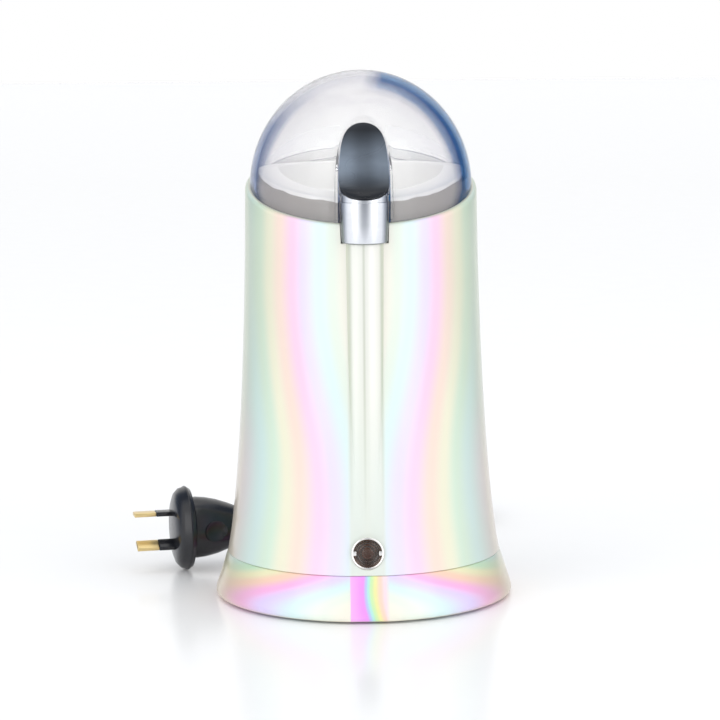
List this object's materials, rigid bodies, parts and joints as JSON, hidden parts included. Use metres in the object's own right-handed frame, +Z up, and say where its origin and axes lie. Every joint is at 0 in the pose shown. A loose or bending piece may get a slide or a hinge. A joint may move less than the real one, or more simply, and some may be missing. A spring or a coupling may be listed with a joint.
{
  "type": "electric blade grinder",
  "caption": "Tapered round blade grinder with a clear dome lid over a steel bowl, a thumb button at the front, a pilot lamp, and a lead with a two-pin plug.",
  "frame": {"origin": "on the floor under the housing's axis", "axes": "+Z up along the axis, -Y towards the button and lamp at the front"},
  "size_m": [0.1526, 0.2368, 0.205],
  "materials": {
    "clear_plastic": "clear gloss",
    "smoked_plastic": "smoked clear gloss",
    "pearl_plastic": "iridescent pearl gloss",
    "grey_plastic": "satin",
    "white_plastic": "gloss",
    "black_plastic": "satin",
    "dish_plastic": "dark satin",
    "silver_plastic": "satin silver",
    "steel": "brushed",
    "lamination": "laminated",
    "copper": "enamelled wire",
    "brass": "plain",
    "carbon": "matt carbon",
    "rubber": "matt",
    "lamp_orange": "clear orange"
  },
  "bodies": {
    "housing": {"bowl_collar": "grey_plastic", "grinding_bowl": "steel", "shaft_seal": "rubber", "body_shell": "pearl_plastic", "base_ring": "pearl_plastic", "base_plate": "black_plastic", "rubber_feet": "rubber", "base_screws": "steel", "motor_deck": "white_plastic", "deck_screws": "steel", "collar_screws": "steel", "motor_dampers": "rubber", "damper_screws": "steel", "upper_motor_bracket": "steel", "lower_motor_bracket": "steel", "motor_screws": "steel", "motor_stator": "lamination", "field_coils": "copper", "upper_bearing": "brass", "lower_bearing": "brass", "brush_holders": "brass", "carbon_brushes": "carbon", "brush_springs": "steel", "button_sleeve": "silver_plastic", "button_spring": "steel", "microswitch": "black_plastic", "switch_bracket": "steel", "interlock_guide": "black_plastic", "lamp_bezel": "silver_plastic", "lamp_lens": "smoked_plastic", "lamp_reflector": "white_plastic", "pilot_led": "lamp_orange", "terminal_block": "white_plastic", "cord_clamp": "black_plastic", "strain_relief": "rubber", "cord_lead": "rubber", "cord_coil": "rubber", "cord_tail": "rubber", "plug_body": "black_plastic", "plug_pins": "brass", "pin_sleeves": "black_plastic"},
    "lid": {"clear_lid": "clear_plastic"},
    "rotor": {"blade": "steel", "blade_nut": "steel", "motor_shaft": "steel", "armature_core": "lamination", "armature_windings": "copper", "commutator": "copper", "cooling_fan": "black_plastic"},
    "button": {"button_cap": "silver_plastic", "thumb_dish": "dish_plastic", "push_rod": "white_plastic"},
    "plunger": {"switch_plunger": "lamp_orange"},
    "interlock": {"interlock_pin": "white_plastic"}
  },
  "joints": [
    {"name": "lid_lift", "type": "slide", "parent": "housing", "child": "lid", "axis": [0, 0, 1], "range_m": [0, 0.08]},
    {"name": "interlock_pin_rise", "type": "slide", "parent": "housing", "child": "interlock", "axis": [0, 0, 1], "range_m": [0, 0.003]},
    {"name": "button_press", "type": "slide", "parent": "housing", "child": "button", "axis": [0, 0, -1], "range_m": [0, 0.0022], "stiffness_N_per_m": 600, "springref_m": -0.002, "deforming": ["button_spring"]},
    {"name": "switch_press", "type": "slide", "parent": "housing", "child": "plunger", "axis": [0, 0, -1], "range_m": [0, 0.00055]},
    {"name": "blade_spin", "type": "hinge", "parent": "housing", "child": "rotor", "pos_m": [0, 0, 0.12], "axis": [0, 0, 1], "continuous": true}
  ],
  "couplings": [
    {"joint": "switch_press", "follows": "button_press", "ratio": 0.25},
    {"joint": "interlock_pin_rise", "follows": "lid_lift", "ratio": 0.0375}
  ]
}
